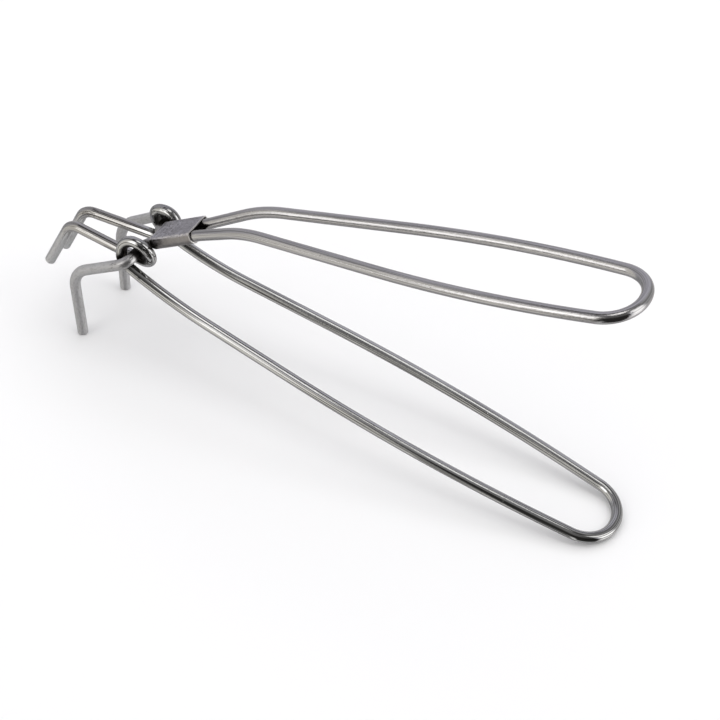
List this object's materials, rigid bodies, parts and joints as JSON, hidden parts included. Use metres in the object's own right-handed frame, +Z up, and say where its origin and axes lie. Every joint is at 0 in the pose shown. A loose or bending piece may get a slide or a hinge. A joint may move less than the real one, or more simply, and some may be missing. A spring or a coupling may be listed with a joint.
{
  "type": "crucible tongs",
  "caption": "Hinged crucible tongs of bent round steel wire: looped handles crossing at a wire eye pivot, a crimped sheet sleeve, and hooked jaws that close against two legs.",
  "frame": {"origin": "on the table, under the middle of the open tongs", "axes": "+X from the jaws to the handles, +Y across the tongs, +Z up; the middle plane is Y = 0"},
  "size_m": [0.2329, 0.0362, 0.1082],
  "materials": {
    "satin_wire": "satin, drawn stainless wire",
    "polished_wire": "bright polished stainless wire",
    "sheet_sleeve": "satin pressed sheet"
  },
  "bodies": {
    "upper": {"upper_handle_wire": "satin_wire", "crimp_sleeve": "sheet_sleeve"},
    "lower": {"lower_handle_wire": "polished_wire"}
  },
  "joints": [
    {"name": "pivot_hinge", "type": "hinge", "parent": "upper", "child": "lower", "pos_m": [-0.0716, 0, 0.0474], "axis": [0, 1, 0], "range_deg": [-30.5, 20]}
  ]
}
